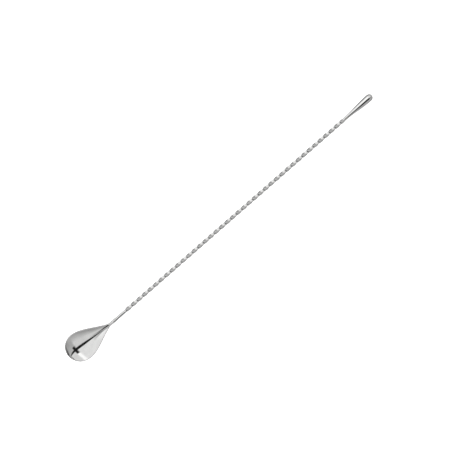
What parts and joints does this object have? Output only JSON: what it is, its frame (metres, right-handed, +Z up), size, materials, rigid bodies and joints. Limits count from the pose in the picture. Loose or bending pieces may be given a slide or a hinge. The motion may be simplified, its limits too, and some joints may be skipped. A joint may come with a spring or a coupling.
{
  "type": "bar spoon",
  "caption": "Long twisted-stem bar spoon with a teardrop bowl at one end and a slim teardrop weight at the other, for stirring drinks.",
  "frame": {"origin": "under the middle of the spoon's box, on the surface it lies on", "axes": "+X from the bowl to the weight along the spoon, +Z up out of the open bowl, +Y to the left when looking along +X"},
  "size_m": [0.3354, 0.026, 0.0166],
  "materials": {
    "bowl_steel": "mirror-polished stainless steel",
    "stem_steel": "polished stainless steel, flats left slightly softer than the corners",
    "weight_steel": "mirror-polished stainless steel, turned",
    "weld_metal": "stainless weld, ground and polished flush",
    "braze_metal": "silver braze, polished"
  },
  "bodies": {
    "root": {"spoon_bowl": "bowl_steel", "twisted_stem": "stem_steel", "teardrop_weight": "weight_steel", "heel_weld": "weld_metal", "weight_braze": "braze_metal"}
  },
  "joints": []
}
